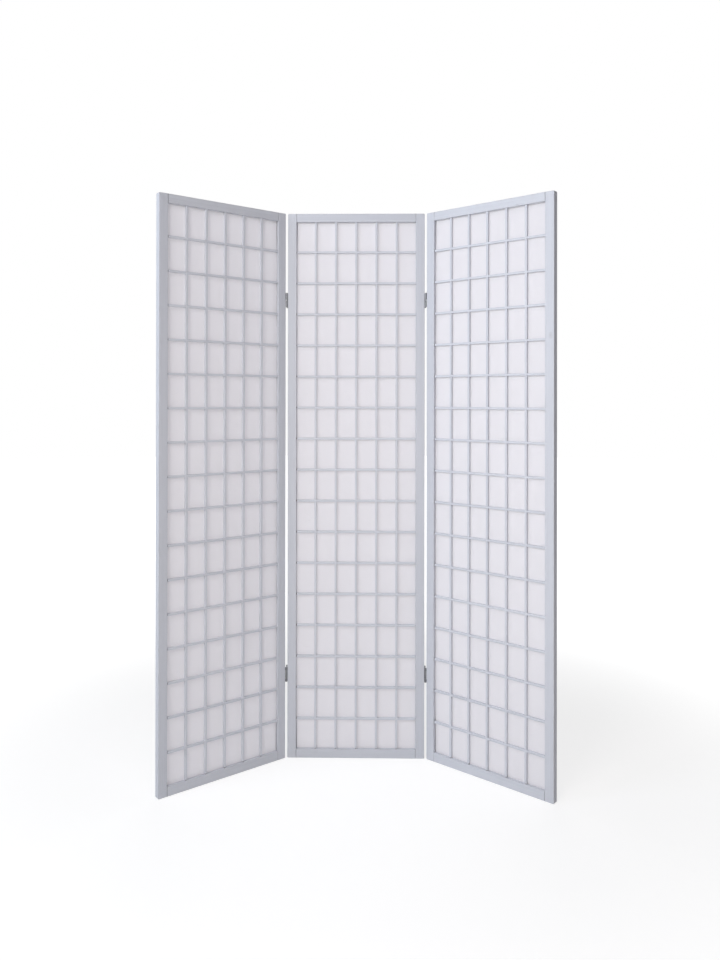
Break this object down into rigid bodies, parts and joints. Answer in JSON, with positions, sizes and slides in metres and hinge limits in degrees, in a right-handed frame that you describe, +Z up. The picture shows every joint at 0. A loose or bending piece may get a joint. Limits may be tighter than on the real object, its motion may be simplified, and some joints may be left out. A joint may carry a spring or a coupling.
{
  "type": "shoji folding screen",
  "caption": "Folding room divider of tall white wooden frames with a fine rectangular lattice over paper, joined edge to edge by double-acting hinges.",
  "frame": {"origin": "middle of the centre panel's bottom face, on the floor", "axes": "+Z up, +X to the right along the screen as seen from its front, -Y out of the front, the side that the wings are folded towards"},
  "size_m": [1.1561, 0.3085, 1.75],
  "materials": {
    "painted_frame": "white paint, satin, with faint grain",
    "painted_lattice": "white paint, satin",
    "screen_paper": "matt white paper",
    "hinge_steel": "grey zinc-plated steel",
    "screw_steel": "zinc-plated steel"
  },
  "bodies": {
    "centre_panel": {"centre_stile_left": "painted_frame", "centre_stile_right": "painted_frame", "centre_rail_top": "painted_frame", "centre_rail_bottom": "painted_frame", "centre_lattice": "painted_lattice", "centre_paper": "screen_paper", "left_hinge_upper_centre_leaf": "hinge_steel", "left_hinge_upper_centre_leaf_screw_1": "screw_steel", "left_hinge_upper_centre_leaf_screw_2": "screw_steel", "left_hinge_lower_centre_leaf": "hinge_steel", "left_hinge_lower_centre_leaf_screw_1": "screw_steel", "left_hinge_lower_centre_leaf_screw_2": "screw_steel", "right_hinge_upper_centre_leaf": "hinge_steel", "right_hinge_upper_centre_leaf_screw_1": "screw_steel", "right_hinge_upper_centre_leaf_screw_2": "screw_steel", "right_hinge_lower_centre_leaf": "hinge_steel", "right_hinge_lower_centre_leaf_screw_1": "screw_steel", "right_hinge_lower_centre_leaf_screw_2": "screw_steel"},
    "left_links": {"left_hinge_upper_link": "hinge_steel", "left_hinge_upper_front_pin": "hinge_steel", "left_hinge_upper_back_pin": "hinge_steel", "left_hinge_lower_link": "hinge_steel", "left_hinge_lower_front_pin": "hinge_steel", "left_hinge_lower_back_pin": "hinge_steel"},
    "left_panel": {"left_stile_left": "painted_frame", "left_stile_right": "painted_frame", "left_rail_top": "painted_frame", "left_rail_bottom": "painted_frame", "left_lattice": "painted_lattice", "left_paper": "screen_paper", "left_hinge_upper_wing_leaf": "hinge_steel", "left_hinge_upper_wing_leaf_screw_1": "screw_steel", "left_hinge_upper_wing_leaf_screw_2": "screw_steel", "left_hinge_lower_wing_leaf": "hinge_steel", "left_hinge_lower_wing_leaf_screw_1": "screw_steel", "left_hinge_lower_wing_leaf_screw_2": "screw_steel"},
    "right_links": {"right_hinge_upper_link": "hinge_steel", "right_hinge_upper_front_pin": "hinge_steel", "right_hinge_upper_back_pin": "hinge_steel", "right_hinge_lower_link": "hinge_steel", "right_hinge_lower_front_pin": "hinge_steel", "right_hinge_lower_back_pin": "hinge_steel"},
    "right_panel": {"right_stile_left": "painted_frame", "right_stile_right": "painted_frame", "right_rail_top": "painted_frame", "right_rail_bottom": "painted_frame", "right_lattice": "painted_lattice", "right_paper": "screen_paper", "right_hinge_upper_wing_leaf": "hinge_steel", "right_hinge_upper_wing_leaf_screw_1": "screw_steel", "right_hinge_upper_wing_leaf_screw_2": "screw_steel", "right_hinge_lower_wing_leaf": "hinge_steel", "right_hinge_lower_wing_leaf_screw_1": "screw_steel", "right_hinge_lower_wing_leaf_screw_2": "screw_steel"}
  },
  "joints": [
    {"name": "left_back_fold", "type": "hinge", "parent": "centre_panel", "child": "left_links", "pos_m": [-0.2232, 0.011, 0.875], "axis": [0, 0, -1], "range_deg": [0, 90]},
    {"name": "left_front_fold", "type": "hinge", "parent": "left_links", "child": "left_panel", "pos_m": [-0.2232, -0.011, 0.875], "axis": [0, 0, 1], "range_deg": [-39, 141]},
    {"name": "right_back_fold", "type": "hinge", "parent": "centre_panel", "child": "right_links", "pos_m": [0.2232, 0.011, 0.875], "axis": [0, 0, 1], "range_deg": [0, 180]},
    {"name": "right_front_fold", "type": "hinge", "parent": "right_links", "child": "right_panel", "pos_m": [0.2232, -0.011, 0.875], "axis": [0, 0, -1], "range_deg": [-40, 50]}
  ]
}
